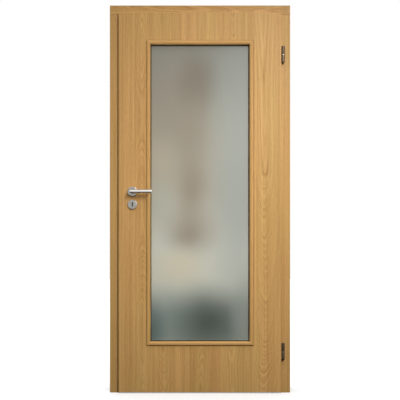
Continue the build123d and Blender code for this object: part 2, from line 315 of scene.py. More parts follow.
def oak_group(oak):
    """Sawn oak. Place is across, through and along the board, in metres."""
    tree = bpy.data.node_groups.new("sawn oak", "ShaderNodeTree")
    numbers = ("Pith", "Cut", "Taper", "Seed", "Tone", "Figure")
    add_sockets(tree, "INPUT", [("Place", "Vector")] + [(name, "Float") for name in numbers])
    results = (("Colour", "Color"), ("Roughness", "Float"), ("Height", "Float"))
    add_sockets(tree, "OUTPUT", results)
    w = Wiring(tree)
    given = tree.nodes.new("NodeGroupInput").outputs
    result = tree.nodes.new("NodeGroupOutput").inputs
    seed_shift = w.stretch(w.vector(*[given["Seed"]] * 3), (3.1, 1.7, 5.3))
    place = w.stretch(given["Place"], (1, 1, 1), seed_shift)
    parts = w.add("SeparateXYZ", Vector=given["Place"]).outputs

    def drawn_out(across, along, **kind):
        """Noise with its own scale along the board."""
        return w.noise(w.stretch(place, (across, across, along)), **kind)

    # Growth rings: a tapering log, cut along a plane beside its pith
    wander = drawn_out(3.2, 1.2, detail=1.0)
    ripple = drawn_out(48, 8.0, detail=3.0, roughness=0.6)
    side = w.math("SUBTRACT", parts["X"], given["Pith"])
    side = w.swing(wander, 0.075, side)
    side = w.swing(ripple, 0.014, side)
    swell = drawn_out(0, 1.6, detail=0.0)
    cut = w.times(given["Cut"], w.span(swell, 0.3, 0.7, 0.55, 1.45))
    radius = w.math("SQRT", w.math("MULTIPLY_ADD", side, side, w.times(cut, cut)))
    rings = w.times(radius, oak.rings)
    # The log tapers less above this height, so the grain runs straighter there
    straight_above = 1.15
    high = w.math("MAXIMUM", w.math("SUBTRACT", parts["Z"], straight_above), 0.0)
    along = w.math("MULTIPLY_ADD", high, -0.8, parts["Z"])
    rings = w.math("SUBTRACT", rings, w.times(along, given["Taper"]))
    number = w.math("FLOOR", rings)
    phase = w.math("FRACT", rings)
    strength = w.add("TexWhiteNoise", {"noise_dimensions": "1D"}, W=number).outputs["Value"]
    early = w.math("POWER", w.math("SUBTRACT", 1.0, phase), 2.2)
    early = w.times(early, w.span(phase, 0.0, 0.1))
    early = w.times(early, w.span(strength, 0.0, 1.0, 0.25, 1.0))

    # Groups of darker and lighter years make the broad figure
    years = w.add(
        "TexNoise", {"noise_dimensions": "1D"}, W=w.times(rings, 0.21), Detail=2.0
    ).outputs["Fac"]
    cloud = drawn_out(7, 0.9, detail=2.0)
    streak = drawn_out(95, 0.9, detail=3.0, roughness=0.65)

    # Pores, fibres and rays, all drawn out along the board
    pore_spots = drawn_out(1100, 42, detail=1.0)
    pores = w.times(w.span(pore_spots, 0.56, 0.70), w.span(early, 0.05, 0.45, 0.25, 1.0))
    fibre = drawn_out(700, 9, detail=3.0)
    rays = w.span(drawn_out(260, 38, detail=0.0), 0.66, 0.74)

    figure = w.swing(years, 0.9, 0.0)
    figure = w.math("MULTIPLY_ADD", early, 0.42, figure)
    depth = w.math("MULTIPLY_ADD", figure, given["Figure"], 0.32)
    depth = w.swing(fibre, 0.45, depth)
    depth = w.swing(streak, 1.4, depth)
    depth = w.swing(cloud, 0.45, depth, clamp=True)
    colour = w.mix(depth, oak.light, oak.dark)
    colour = w.mix(w.times(rays, 0.18), colour, oak.light)
    colour = w.mix(w.times(pores, 0.5), colour, oak.pore)
    drift = w.span(drawn_out(9, 0.7, detail=1.0), 0.35, 0.65)
    warm = w.mix(drift, (0.985, 1.008, 0.975), (1.03, 0.99, 0.995))
    colour = w.mix(1.0, colour, warm, "MULTIPLY")
    tone = w.vector(*[given["Tone"]] * 3)
    w.feed(result["Colour"], w.mix(1.0, colour, tone, "MULTIPLY"))
    w.feed(result["Roughness"], w.math("MULTIPLY_ADD", depth, 0.14, 0.42))
    height = w.math("MULTIPLY_ADD", pores, -1.0, 1.0)
    w.feed(result["Height"], w.math("MULTIPLY_ADD", fibre, 0.3, height))
    return tree


def oak_material(
    name, axes, pith, cut, taper=0.0, seed=0.0, tone=1.0, figure=1.0, sheets=None, joint=None
):
    """Lacquered oak. The axes name what runs across, through and along the board.

    sheets holds the places where one sheet of veneer ends and the next begins, and then
    the pith, taper, seed, tone and figure of each sheet from the left. joint holds the low
    and the high corner of an outline that gets a darker band of painted shade round it.
    """
    oak = bpy.context.scene.door_oak
    group = bpy.data.node_groups.get("sawn oak") or oak_group(oak)
    material, w, output = new_material(name)
    place = w.place()
    parts = w.add("SeparateXYZ", Vector=place).outputs
    along_board = w.vector(*[parts[axis] for axis in axes])
    if sheets:
        edges, rows = sheets
        pith, taper, seed, tone, figure = (
            w.steps(parts[axes[0]], edges, [row[column] for row in rows]) for column in range(5)
        )
    grain = w.add(
        "Group",
        {"node_tree": group},
        Place=along_board,
        Pith=pith,
        Cut=cut,
        Taper=taper,
        Seed=seed,
        Tone=tone,
        Figure=figure,
    )
    colour = grain.outputs["Colour"]
    # Painted shade: the veneer darkens over 5 mm towards the beads' outline, as if the beads shaded it
    if joint:
        gaps = []
        for axis in "XZ":
            k = "XYZ".index(axis)
            middle = (joint[0][k] + joint[1][k]) / 2
            half = (joint[1][k] - joint[0][k]) / 2
            off = w.math("ABSOLUTE", w.math("SUBTRACT", parts[axis], middle))
            gaps.append(w.math("SUBTRACT", off, half))
        line = w.span(w.math("MAXIMUM", *gaps), 0.0, 0.005, 0.55, 0.0, smooth=True)
        colour = w.mix(line, colour, oak.pore)
    bump = w.add("Bump", Height=grain.outputs["Height"], Distance=oak.relief, Strength=0.5)
    end_in_shader(
        w,
        output,
        Base_Color=colour,
        Roughness=grain.outputs["Roughness"],
        Normal=bump.outputs[0],
        Specular_IOR_Level=0.24,
    )
    return material


class DOOR_OT_leaf(Operator):
    """Veneer the leaf in book-matched upright sheets"""

    bl_idname = "door.leaf"
    bl_label = "Leaf"

    def execute(self, context):
        middle = DOOR_MIDDLE.x
        edges = [middle + place for place in (-0.277, -0.095, 0.090, 0.287)]
        # Each sheet's pith, taper, seed, tone and figure
        rows = (
            (middle - 0.305, -22.0, 1.0, 0.98, 0.9),
            (middle - 0.190, 9.0, 2.0, 0.99, 0.6),
            (middle + 0.003, -20.0, 3.0, 0.98, 0.7),
            (middle + 0.178, 18.0, 4.0, 1.00, 0.8),
            (middle + 0.332, 27.0, 5.0, 1.03, 1.0),
        )
        # The beads' outline, round which the veneer gets a band of painted shade
        joint = (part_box("front_bead_lock_side")[0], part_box("front_bead_hinge_side")[1])
        veneer = oak_material(
            "leaf_veneer_oak", "XYZ", 0.0, 0.045, sheets=(edges, rows), joint=joint
        )
        dress(veneer, "front_skin", "back_skin")
        edging = oak_material("leaf_edge_oak", "XYZ", middle, 0.3, 3.0, 6.0)
        dress(edging, "lock_stile", "lock_block", "hinge_stile")
        rail = oak_material("leaf_rail_oak", "ZYX", 0.5, 0.3, 3.0, 7.0)
        dress(rail, "top_rail", "bottom_rail")
        return {"FINISHED"}


class DOOR_OT_frame(Operator):
    """Finish the lining and the casings, each board with its grain along its length"""

    bl_idname = "door.frame"
    bl_label = "Lining and casings"

    def execute(self, context):
        for number, side in enumerate(("hinge_side", "lock_side")):
            for face in FACES:
                node = f"{face}_casing_{side}"
                pith = centre_of(node).x + 0.09
                # Painted shade: the lock-side casings get a darker tone, as the side away from the key lamp
                tone = 0.90 if side == "lock_side" else 1.02
                oak = oak_material(node, "XYZ", pith, 0.09, 6.0, 11.0 + number, tone, 0.6)
                dress(oak, node)
            node = f"lining_{side}"
            dress(oak_material(node, "YXZ", centre_of(node).y, 0.10, 7.0, 15.0 + number), node)
        for number, node in enumerate(("front_casing_head", "back_casing_head")):
            pith = centre_of(node).z + 0.004
            oak = oak_material(node, "ZYX", pith, 0.035, 9.0, 18.0 + number, 0.92, 0.8)
            dress(oak, node)
        dress(oak_material("lining_head", "YZX", 0.05, 0.1, 7.0, 20.0), "lining_head")
        return {"FINISHED"}


# Glass


# Patches of painted light and shade that stand for a blurred room behind the glass: across
# from the middle, height, half width, half height, colour, strength
GLASS_PAINTED_LIGHT_PATCHES = (
    (-0.13, 1.50, 0.22, 0.42, (0.300, 0.245, 0.180), 0.60),
    (-0.02, 1.63, 0.11, 0.17, (0.190, 0.160, 0.115), 0.75),
    (0.20, 1.10, 0.16, 0.75, (0.375, 0.405, 0.370), 0.80),
    (-0.20, 1.20, 0.10, 0.17, (0.460, 0.400, 0.300), 0.60),
    (-0.03, 1.36, 0.10, 0.32, (0.300, 0.255, 0.190), 0.50),
    (-0.04, 1.07, 0.09, 0.17, (0.300, 0.245, 0.180), 0.70),
    (-0.21, 1.00, 0.09, 0.12, (0.450, 0.455, 0.370), 0.65),
    (-0.05, 0.84, 0.14, 0.15, (0.290, 0.235, 0.170), 0.80),
    (-0.11, 0.65, 0.15, 0.12, (0.640, 0.580, 0.430), 0.85),
    (0.05, 0.375, 0.20, 0.19, (0.062, 0.078, 0.064), 0.88),
    (-0.25, 0.32, 0.08, 0.16, (0.085, 0.125, 0.125), 0.80),
    (0.24, 0.38, 0.08, 0.26, (0.290, 0.315, 0.275), 0.70),
)


def satin_glass(glass):
    """Satin glass with painted light and shade: a soft tone from foot to top, with blurred patches in it, standing
    for a room behind it.
    """
    material, w, output = new_material("satin_glass")
    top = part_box("glass_pane")[1].z
    place = w.place()
    sway = w.add("TexNoise", Vector=w.stretch(place, (4, 4, 3)), Scale=1.0, Detail=1.0)
    place = w.stretch(place, (1, 0, 1), (-0.025, 0, -0.035))
    place = w.stretch(sway.outputs["Color"], (0.05, 0, 0.07), place)
    height = w.add("SeparateXYZ", Vector=place).outputs["Z"]
    colour = w.mix(w.span(height, 0.40, 0.62, smooth=True), glass.foot, glass.lower)
    colour = w.mix(w.span(height, 0.70, 1.10, smooth=True), colour, glass.middle)
    colour = w.mix(w.span(height, 1.20, top - 0.1, smooth=True), colour, glass.top)
    # Each patch lays painted light and shade over the tone
    for across, up, half_width, half_height, tone, strength in GLASS_PAINTED_LIGHT_PATCHES:
        centre = (-(DOOR_MIDDLE.x + across) / half_width, 0, -up / half_height)
        offset = w.stretch(place, (1 / half_width, 0, 1 / half_height), centre)
        away = w.add("VectorMath", {"operation": "LENGTH"}, Vector=offset).outputs["Value"]
        share = w.span(away, 0.0, 1.35, strength * glass.cloud, 0.0, smooth=True)
        colour = w.mix(share, colour, tone)
    grain = w.noise(w.stretch(w.place(), (900, 900, 900)), detail=1.0)
    bump = w.add("Bump", Height=grain, Distance=0.00002, Strength=0.2)
    end_in_shader(
        w,
        output,
        Base_Color=colour,
        Roughness=0.38,
        IOR=1.52,
        Specular_IOR_Level=0.3,
        Transmission_Weight=0.08,
        Normal=bump.outputs[0],
    )
    return material


class DOOR_OT_glass(Operator):
    """Finish the satin pane"""

    bl_idname = "door.glass"
    bl_label = "Glass"

    def execute(self, context):
        dress(satin_glass(context.scene.door_glass), "glass_pane")
        return {"FINISHED"}


# Metal


def metal_material(name, colour, roughness, brush, metallic=1.0):
    """Metal with fine brush marks. brush stretches the marks along each axis."""
    material, w, output = new_material(name)
    place = w.place()
    marks = w.noise(w.stretch(place, brush), detail=3.0, roughness=0.6)
    smudges = w.noise(w.stretch(place, (35, 35, 35)), detail=2.0)
    bump = w.add("Bump", Height=marks, Distance=0.000004, Strength=0.25)
    rough = w.swing(smudges, 0.16, roughness)
    shade = w.span(marks, 0.3, 0.7, 0.93, 1.05)
    shade = w.vector(shade, shade, shade)
    end_in_shader(
        w,
        output,
        Base_Color=w.mix(1.0, colour, shade, "MULTIPLY"),
        Metallic=metallic,
        Roughness=rough,
        Normal=bump.outputs[0],
    )
    return material


def rubber_material(name, colour):
    material, w, output = new_material(name)
    place = w.place()
    dust = w.noise(w.stretch(place, (60, 60, 60)), detail=4.0)
    bump = w.add("Bump", Height=dust, Distance=0.0001, Strength=0.3)
    end_in_shader(
        w,
        output,
        Base_Color=w.mix(w.span(dust, 0.4, 0.8, 0.0, 0.08), colour, (0.2, 0.17, 0.13)),
        Roughness=0.75,
        Specular_IOR_Level=0.2,
        Normal=bump.outputs[0],
    )
    return material


# Shapes


def add_piece(name, mesh, body, sharp):
    """Puts a mesh into the scene as a smooth-shaded piece that rides on a body."""
    mesh.shade_smooth()
    mesh.set_sharp_from_angle(angle=radians(sharp))
    piece = link_object(name, mesh)
    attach(piece, body)
    return piece


def finish_piece(name, shape, body, material, sharp=35):
    """Turns a bmesh into a piece."""
    bmesh.ops.recalc_face_normals(shape, faces=shape.faces)
    mesh = mesh_of(name, shape)
    mesh.materials.append(material)
    return add_piece(name, mesh, body, sharp)


def bridge(shape, first, second):
    """Adds the faces between two loops that have the same number of corners."""
    for k in range(len(first)):
        following = (k + 1) % len(first)
        shape.faces.new((first[k], first[following], second[following], second[k]))


def rounded(points, closed=False, steps=5):
    """A path through flat corners given as (radius, height, rounding)."""
    path = []
    count = len(points)
    for number, (x, y, rounding) in enumerate(points):
        here = Vector((x, y))
        last = number in (0, count - 1) and not closed
        if rounding == 0 or last:
            path.append(here)
            continue
        before = Vector(points[number - 1][:2]) - here
        after = Vector(points[(number + 1) % count][:2]) - here
        half = before.angle(after) / 2
        reach = rounding / tan(half)
        start = here + before.normalized() * reach
        bisector = (before.normalized() + after.normalized()).normalized()
        middle = here + bisector * rounding / sin(half)
        sweep = (start - middle).angle_signed(here + after.normalized() * reach - middle)
        for step in range(steps + 1):
            turn = Matrix.Rotation(-sweep * step / steps, 2)
            path.append(middle + turn @ (start - middle))
    return path


def bead_shape(node, face, along, inward):
    """A mitred bead. Its section runs from the outer edge inwards and out of the leaf."""
    low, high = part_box(node)
    out = INWARD * FACES[face]
    width = abs((high - low).dot(inward))
    proud = max((corner - Vector((0, LEAF_FACE[face], 0))).dot(out) for corner in (low, high))
    depth = (high - low).y - proud
    leg = width - BEAD_LEG
    section = rounded(
        (
            (0.0, 0.0, 0),
            (0.0002, 0.0006, 0),
            (0.0050, proud * 0.94, 0.0012),
            (width / 2, proud, 0.012),
            (width - 0.0048, proud * 0.92, 0.0010),
            (width, proud * 0.34, 0.0005),
            (width, -depth, 0),
            (leg, -depth, 0),
            (leg, 0.0, 0),
        ),
        closed=True,
    )
    corner = Vector([low[k] if inward[k] >= 0 else high[k] for k in range(3)])
    corner.y = LEAF_FACE[face]
    length = (high - low).dot(along)
    shape = bmesh.new()
    ends = []
    for start, back in ((0.0, 1), (length, -1)):
        ends.append(
            [
                shape.verts.new(corner + along * (start + back * u) + inward * u + out * rise)
                for u, rise in section
            ]
        )
    shape.faces.new(ends[0])
    shape.faces.new(ends[1])
    bridge(shape, *ends)
    return shape


class DOOR_OT_beads(Operator):
    """Make the mitred glazing beads, each with its grain along its length"""

    bl_idname = "door.beads"
    bl_label = "Glazing beads"

    def execute(self, context):
        sides = {
            "lock_side": (UP, ACROSS),
            "hinge_side": (UP, -ACROSS),
            "bottom": (ACROSS, UP),
            "top": (ACROSS, -UP),
        }
        for face in FACES:
            for number, (side, (along, inward)) in enumerate(sides.items()):
                node = f"{face}_bead_{side}"
                centre = centre_of(node)
                axes, pith = ("XYZ", centre.x) if along is UP else ("ZYX", centre.z)
                oak = oak_material(node, axes, pith + 0.05, 0.05, 5.0, 21.0 + number)
                shape = bead_shape(node, face, along, inward)
                bead = finish_piece(f"{face}_oak_bead_{side}", shape, "leaf", oak, 30)
                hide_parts(node)
        return {"FINISHED"}


def turned(shape, path, origin, direction, closed=False, segments=96):
    """Adds a body turned about a line to a bmesh; path holds (radius, height) points."""
    basis = Vector(direction).to_track_quat("Z", "Y").to_matrix()
    angles = [2 * pi * k / segments for k in range(segments)]
    loops = []
    for radius, height in path:
        if radius < 1e-7:
            loops.append([shape.verts.new(origin + basis @ Vector((0, 0, height)))])
            continue
        ring = [Vector((radius * cos(a), radius * sin(a), height)) for a in angles]
        loops.append([shape.verts.new(origin + basis @ point) for point in ring])
    pairs = list(zip(loops, loops[1:]))
    if closed:
        pairs.append((loops[-1], loops[0]))
    for first, second in pairs:
        for k in range(segments):
            corners = [first[k % len(first)], first[(k + 1) % len(first)]]
            corners += [second[(k + 1) % len(second)], second[k % len(second)]]
            unique = list(dict.fromkeys(corners))
            if len(unique) > 2:
                shape.faces.new(unique)


def rod(shape, start, direction, length, radius):
    """Adds a plain closed rod."""
    path = [(0, 0), (radius, 0), (radius, length), (0, length)]
    turned(shape, path, start, direction, segments=32)


def evaluated_mesh(thing):
    """A new mesh with the object's modifiers worked into it."""
    graph = bpy.context.evaluated_depsgraph_get()
    return bpy.data.meshes.new_from_object(thing.evaluated_get(graph))


# Handle


def lever_shape(out, standoff, length, radius, sink):
    """A round bar with a mitred corner: out of the leaf, then across it."""
    shape = bmesh.new()
    face = LEAF_FACE["front" if out < 0 else "back"]
    corner = Vector((LEVER_AXIS.x, face + out * standoff, LEVER_AXIS.z))
    outward = INWARD * out
    segments = 72
    angles = [2 * pi * k / segments for k in range(segments)]
    loops = []
    # The neck: distances from the leaf's face, and how deep it is turned down there
    groove = 0.0004
    neck = ((sink, 0.0), (0.0092, 0.0), (0.0095, groove), (0.0103, groove), (0.0106, 0.0))
    for height, less in neck:
        centre = corner + outward * (height - standoff)
        size = radius - less
        loops.append([centre + size * (cos(a) * ACROSS + sin(a) * UP) for a in angles])
    # Loops close beside the mitre and the end keep the shading of the bar even
    mitre = [corner + radius * (cos(a) * (ACROSS - outward) + sin(a) * UP) for a in angles]
    guard = 0.0006
    for shift in (-guard * outward, Vector((0, 0, 0)), guard * ACROSS):
        loops.append([point + shift for point in mitre])
    edge = 0.0012
    for along, less in (
        (length - edge - guard, 0.0),
        (length - edge, 0.0),
        (length - edge * 0.3, edge * 0.3),
        (length, edge),
        (length, radius * 0.45),
    ):
        centre = corner + ACROSS * along
        size = radius - less
        loops.append([centre + size * (-cos(a) * outward + sin(a) * UP) for a in angles])
    rows = [[shape.verts.new(point) for point in loop] for loop in loops]
    for first, second in zip(rows, rows[1:]):
        bridge(shape, first, second)
    for row in (rows[0], rows[-1]):
        shape.faces.new(row)
    return shape


class DOOR_OT_levers(Operator):
    """Make the two round-bar levers with their grub screws"""

    bl_idname = "door.levers"
    bl_label = "Levers"

    def execute(self, context):
        metal = context.scene.door_metal
        # Painted highlight: the bars' steel is made brighter than the same steel elsewhere
        painted_highlight_steel = [min(value * 1.25, 0.95) for value in metal.steel]
        steel = metal_material("satin_steel_bar", painted_highlight_steel, 0.34, (60, 900, 900))
        dark = metal_material("dark_screw", (0.10, 0.10, 0.10), 0.45, (300, 300, 300))
        for face, out in FACES.items():
            node = f"{face}_lever"
            low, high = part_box(node)
            radius = (high.z - low.z) / 2
            standoff = size_of(node).y - radius
            reach = abs((low.y if out < 0 else high.y) - LEAF_FACE[face])
            sink = reach - size_of(node).y
            shape = lever_shape(out, reach - radius, high.x - LEVER_AXIS.x, radius, sink)
            lever = finish_piece(f"{face}_lever_bar", shape, "lever", steel, 25)
            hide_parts(node)
            shape = bmesh.new()
            under_neck = LEAF_FACE[face] + out * standoff * 0.42
            place = Vector((LEVER_AXIS.x, under_neck, LEVER_AXIS.z - radius))
            socket_wall = [(0.0013, -0.0001), (0.0013, 0.0012), (0.0, 0.0012)]
            ring = [(0.0, 0.0016), (0.0024, 0.0016), (0.0024, -0.0001)] + socket_wall
            turned(shape, ring, place, UP, False, 6)
            finish_piece(f"{face}_lever_grub_screw", shape, "lever", dark, 25)
        dress(metal_material("spindle_steel", metal.steel, 0.4, (200, 20, 200)), "lever_spindle")
        return {"FINISHED"}


# Between a lever's neck and its rose
LEVER_GAP = 0.0003


def plate_path(radius, thickness, bore):
    """The section of a round plate, with a shadow groove round its foot."""
    inset = 0.0007
    lift = 0.0009
    return rounded(
        (
            (bore, 0.0, 0),
            (radius - inset, 0.0, 0),
            (radius - inset, lift, 0),
            (radius, lift, 0),
            (radius, thickness, 0.0018),
            (bore, thickness, 0.0004 if bore else 0),
        ),
        closed=bool(bore),
    )


class DOOR_OT_roses(Operator):
    """Make the lever roses and the key escutcheons"""

    bl_idname = "door.roses"
    bl_label = "Roses and escutcheons"

    def execute(self, context):
        metal = context.scene.door_metal
        # Painted shade and reflection: the plate tone darkens the steel, and the warm factors tint it as if it
        # mirrored the oak
        plate = [value * metal.plate * warm for value, warm in zip(metal.steel, (1.0, 0.97, 0.91))]
        steel = metal_material("satin_steel_plate", plate, 0.30, (500, 60, 500))
        for face, out in FACES.items():
            node = f"{face}_lever_rose"
            radius = size_of(node).x / 2
            thickness = size_of(node).y
            origin = Vector((LEVER_AXIS.x, LEAF_FACE[face], LEVER_AXIS.z))
            bore = size_of(f"{face}_lever").z / 2 + LEVER_GAP
            shape = bmesh.new()
            turned(shape, plate_path(radius, thickness, bore), origin, INWARD * out, True)
            rose = finish_piece(f"{face}_rose", shape, "leaf", steel, 30)
            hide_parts(node)

            node = f"{face}_key_escutcheon"
            origin.z = centre_of(node).z
            shape = bmesh.new()
            turned(shape, plate_path(radius, thickness, 0.0), origin, INWARD * out)
            escutcheon = finish_piece(f"{face}_key_plate", shape, "leaf", steel, 30)
            cutter = keyhole_cutter(origin, thickness)
            cut = escutcheon.modifiers.new("keyhole", "BOOLEAN")
            cut.object = cutter
            cut.solver = "EXACT"
            mesh = evaluated_mesh(escutcheon)
            escutcheon.modifiers.clear()
            escutcheon.data = mesh
            bpy.data.objects.remove(cutter)
            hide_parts(node)
        self.set_levers(LEVER_AXIS.x, centre_of("front_key_escutcheon").z)
        return {"FINISHED"}

    def set_levers(self, x, z):
        """The lock's lever pack, seen through the keyholes; its near-black colour is painted shade inside the
        lock.
        """
        shape = bmesh.new()
        for number in range(5):
            y = centre_of("lock_forend").y + 0.002 * (number - 2)
            rise = 0.0006 * (-1) ** number
            slab = bmesh.ops.create_cube(shape, size=1.0)["verts"]
            bmesh.ops.scale(shape, verts=slab, vec=(0.0092, 0.0012, 0.0270))
            bmesh.ops.translate(shape, verts=slab, vec=(x, y, z + rise))
        bmesh.ops.bevel(
            shape, geom=shape.edges[:], offset=0.0002, segments=2, affect="EDGES", profile=0.5
        )
        # Its near-black colour is painted shade inside the lock
        dark = metal_material("lever_steel_painted_shade", (0.05, 0.05, 0.052), 0.5, (300, 40, 300), 0.3)
        finish_piece("lock_levers", shape, "leaf", dark, 30)


def keyhole_cutter(origin, thickness):
    """A prism of the keyhole's outline: a round head over a narrow slot."""
    head = 0.0042
    half_slot = 0.0025
    rise = 0.0065
    drop = 0.012
    steps = 20
    start = asin(half_slot / head) - pi / 2
    outline = [(half_slot, -drop)]
    for step in range(steps + 1):
        turn = start + (pi - 2 * start) * step / steps
        outline.append((head * cos(turn), rise + head * sin(turn)))
    outline.append((-half_slot, -drop))
    shape = bmesh.new()
    rows = [
        [shape.verts.new(origin + Vector((x, depth, z))) for x, z in outline]
        for depth in (-2 * thickness, 2 * thickness)
    ]
    shape.faces.new(rows[0])
    shape.faces.new(rows[1])
    bridge(shape, *rows)
    bmesh.ops.recalc_face_normals(shape, faces=shape.faces)
    return link_object("keyhole_cutter", mesh_of("keyhole_cutter", shape))


# Hinges


PIN_RADIUS = 0.004
PIN_GAP = 0.00005
WASHER_THICKNESS = 0.0015
STUD_RADIUS = 0.003
# How far inside its barrel a stud begins
STUD_START = 0.001
LEAF_STUD_RISES = (0.012, 0.034)
FRAME_STUD_DROPS = (0.013, 0.033)
FRAME_STUD_REACH = 0.038
FRAME_STUD_LEAN = Vector((-10, 30, 0)).normalized()


def leaf_barrel_path(radius, top, pin_top):
    """The upper half's section: a blind bore over the pin, a ring groove, a rounded end."""
    bore = PIN_RADIUS + PIN_GAP
    bore_top = pin_top + 0.001
    groove = 0.0004
    return rounded(
        (
            (0, bore_top, 0),
            (bore, bore_top, 0),
            (bore, PIN_GAP, 0),
            (radius, PIN_GAP, 0.0003),
            (radius, top - 0.0068, 0),
            (radius - groove, top - 0.0064, 0),
            (radius - groove, top - 0.0056, 0),
            (radius, top - 0.0052, 0),
            (radius, top, 0.0025),
            (0, top, 0),
        )
    )


def frame_barrel_path(radius, foot, pin_top):
    """The lower half's section: a foot that narrows downwards, and the pin."""
    return rounded(
        (
            (0, foot, 0),
            (0.0055, foot, 0.0008),
            (radius, foot + 0.007, 0.0012),
            (radius, -WASHER_THICKNESS, 0.0003),
            (PIN_RADIUS, -WASHER_THICKNESS, 0),
            (PIN_RADIUS, pin_top, 0.0006),
            (0, pin_top, 0),
        )
    )


class DOOR_OT_hinges(Operator):
    """Make the turned hinge barrels with their pins, studs and washers"""

    bl_idname = "door.hinges"
    bl_label = "Hinges"

    def execute(self, context):
        metal = context.scene.door_metal
        bronze = metal_material("dark_hinge_metal", metal.hinge, 0.45, (700, 700, 60), 0.7)
        washer_metal = metal_material("washer_metal", metal.washer, 0.3, (700, 700, 60))
        washers = bmesh.new()
        for place in ("upper", "lower"):
            leaf_node = f"{place}_hinge_leaf_knuckle"
            frame_node = f"{place}_hinge_frame_knuckle"
            low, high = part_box(leaf_node)
            split = low.z - PIN_GAP
            origin = Vector((HINGE_AXIS.x, HINGE_AXIS.y, split))
            foot, pin_top = (corner.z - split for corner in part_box(frame_node))
            radius = high.x - HINGE_AXIS.x

            shape = bmesh.new()
            turned(shape, leaf_barrel_path(radius, high.z - split, pin_top), origin, UP)
            for rise in LEAF_STUD_RISES:
                start = origin + UP * rise - ACROSS * (radius - STUD_START)
                rod(shape, start, -ACROSS, start.x - low.x, STUD_RADIUS)
            knuckle = finish_piece(f"{place}_leaf_barrel", shape, "leaf", bronze)
            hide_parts(leaf_node)

            shape = bmesh.new()
            turned(shape, frame_barrel_path(radius, foot, pin_top), origin, UP)
            for drop in FRAME_STUD_DROPS:
                start = origin - UP * drop + FRAME_STUD_LEAN * (radius - STUD_START)
                length = FRAME_STUD_REACH - radius + STUD_START
                rod(shape, start, FRAME_STUD_LEAN, length, STUD_RADIUS)
            knuckle = finish_piece(f"{place}_frame_barrel", shape, "frame", bronze)
            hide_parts(frame_node)

            bore = PIN_RADIUS + PIN_GAP
            path = rounded(
                (
                    (bore, 0, 0),
                    (radius, 0, 0.0003),
                    (radius, WASHER_THICKNESS, 0.0003),
                    (bore, WASHER_THICKNESS, 0),
                ),
                closed=True,
            )
            low_face = Vector((HINGE_AXIS.x, HINGE_AXIS.y, split - WASHER_THICKNESS))
            turned(washers, path, low_face, UP, True)
        rings = finish_piece("hinge_rings", washers, "frame", washer_metal)
        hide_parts("hinge_washers")
        return {"FINISHED"}


# What follows a path or repeats


def geometry_tree(name, inputs):
    """A Geometry Nodes tree with named inputs, its wiring, input sockets and output."""
    tree = bpy.data.node_groups.new(name, "GeometryNodeTree")
    mesh = ("Geometry", "Geometry")
    add_sockets(tree, "INPUT", (mesh, *inputs))
    add_sockets(tree, "OUTPUT", (mesh,))
    given = tree.nodes.new("NodeGroupInput").outputs
    result = tree.nodes.new("NodeGroupOutput").inputs["Geometry"]
    return tree, Wiring(tree, "GeometryNode"), given, result


def end_in_mesh(w, node, given, result):
    """Ends a tree in plain geometry with its material."""
    real = w.add("RealizeInstances", Geometry=node.outputs[0])
    finish = w.add("SetMaterial", Geometry=real.outputs[0], Material=given["Material"])
    w.feed(result, finish.outputs[0])


def gasket_tree():
    """Sweeps a rounded strip along a curve."""
    tree, w, given, result = geometry_tree(
        "gasket strip",
        (("Side", "Float"), ("Rise", "Float"), ("Round", "Float"), ("Material", "Material")),
    )
    section = w.add("CurvePrimitiveQuadrilateral", Width=given["Side"], Height=given["Rise"])
    soft = w.add(
        "FilletCurve",
        {"mode": "POLY"},
        Curve=section.outputs[0],
        Count=4,
        Radius=given["Round"],
        Limit_Radius=True,
    )
    swept = w.add("CurveToMesh", Curve=given["Geometry"], Profile_Curve=soft.outputs[0])
    w.feed(swept.inputs["Fill Caps"], True)
    end_in_mesh(w, swept, given, result)
    return tree


def screw_tree():
    """Puts a cross-recessed screw head on every point."""
    tree, w, given, result = geometry_tree(
        "screw heads",
        (("Radius", "Float"), ("Height", "Float"), ("Turn", "Vector"), ("Material", "Material")),
    )
    head = w.add("MeshCylinder", Vertices=32, Radius=given["Radius"], Depth=given["Height"])
    arm = w.times(given["Radius"], 1.15)
    slim = w.times(given["Radius"], 0.26)
    depth = w.times(given["Height"], 1.2)
    bars = []
    lift = w.vector(0.0, 0.0, w.times(given["Height"], 0.55))
    for size in ((arm, slim, depth), (slim, arm, depth)):
        bar = w.add("MeshCube", Size=w.vector(*size))
        bars.append(w.add("Transform", Geometry=bar.outputs[0], Translation=lift))
    cut = w.add("MeshBoolean", {"operation": "DIFFERENCE"})
    w.feed(cut.inputs[0], head.outputs["Mesh"])
    for bar in bars:
        w.tree.links.new(bar.outputs[0], cut.inputs[1])
    placed = w.add(
        "InstanceOnPoints",
        Points=given["Geometry"],
        Instance=cut.outputs[0],
        Rotation=given["Turn"],
    )
    end_in_mesh(w, placed, given, result)
    return tree


def grow(name, data, tree, values, body, sharp=35):
    """Runs a Geometry Nodes tree on a mesh or curve and keeps the plain mesh it makes."""
    seed_object = link_object(name + "_seed", data)
    modifier = seed_object.modifiers.new("grow", "NODES")
    modifier.node_group = tree
    for item in tree.interface.items_tree:
        if item.in_out == "INPUT" and item.name in values:
            modifier[item.identifier] = values[item.name]
    mesh = evaluated_mesh(seed_object)
    mesh.name = name
    seed_object.modifiers.remove(modifier)
    bpy.data.objects.remove(seed_object)
    return add_piece(name, mesh, body, sharp)


def path_curve(name, points, closed):
    """A curve of straight runs."""
    curve = bpy.data.curves.new(name, "CURVE")
    curve.dimensions = "3D"
    spline = curve.splines.new("POLY")
    spline.points.add(len(points) - 1)
    for point, place in zip(spline.points, points):
        point.co = (*place, 1.0)
    spline.use_cyclic_u = closed
    return curve


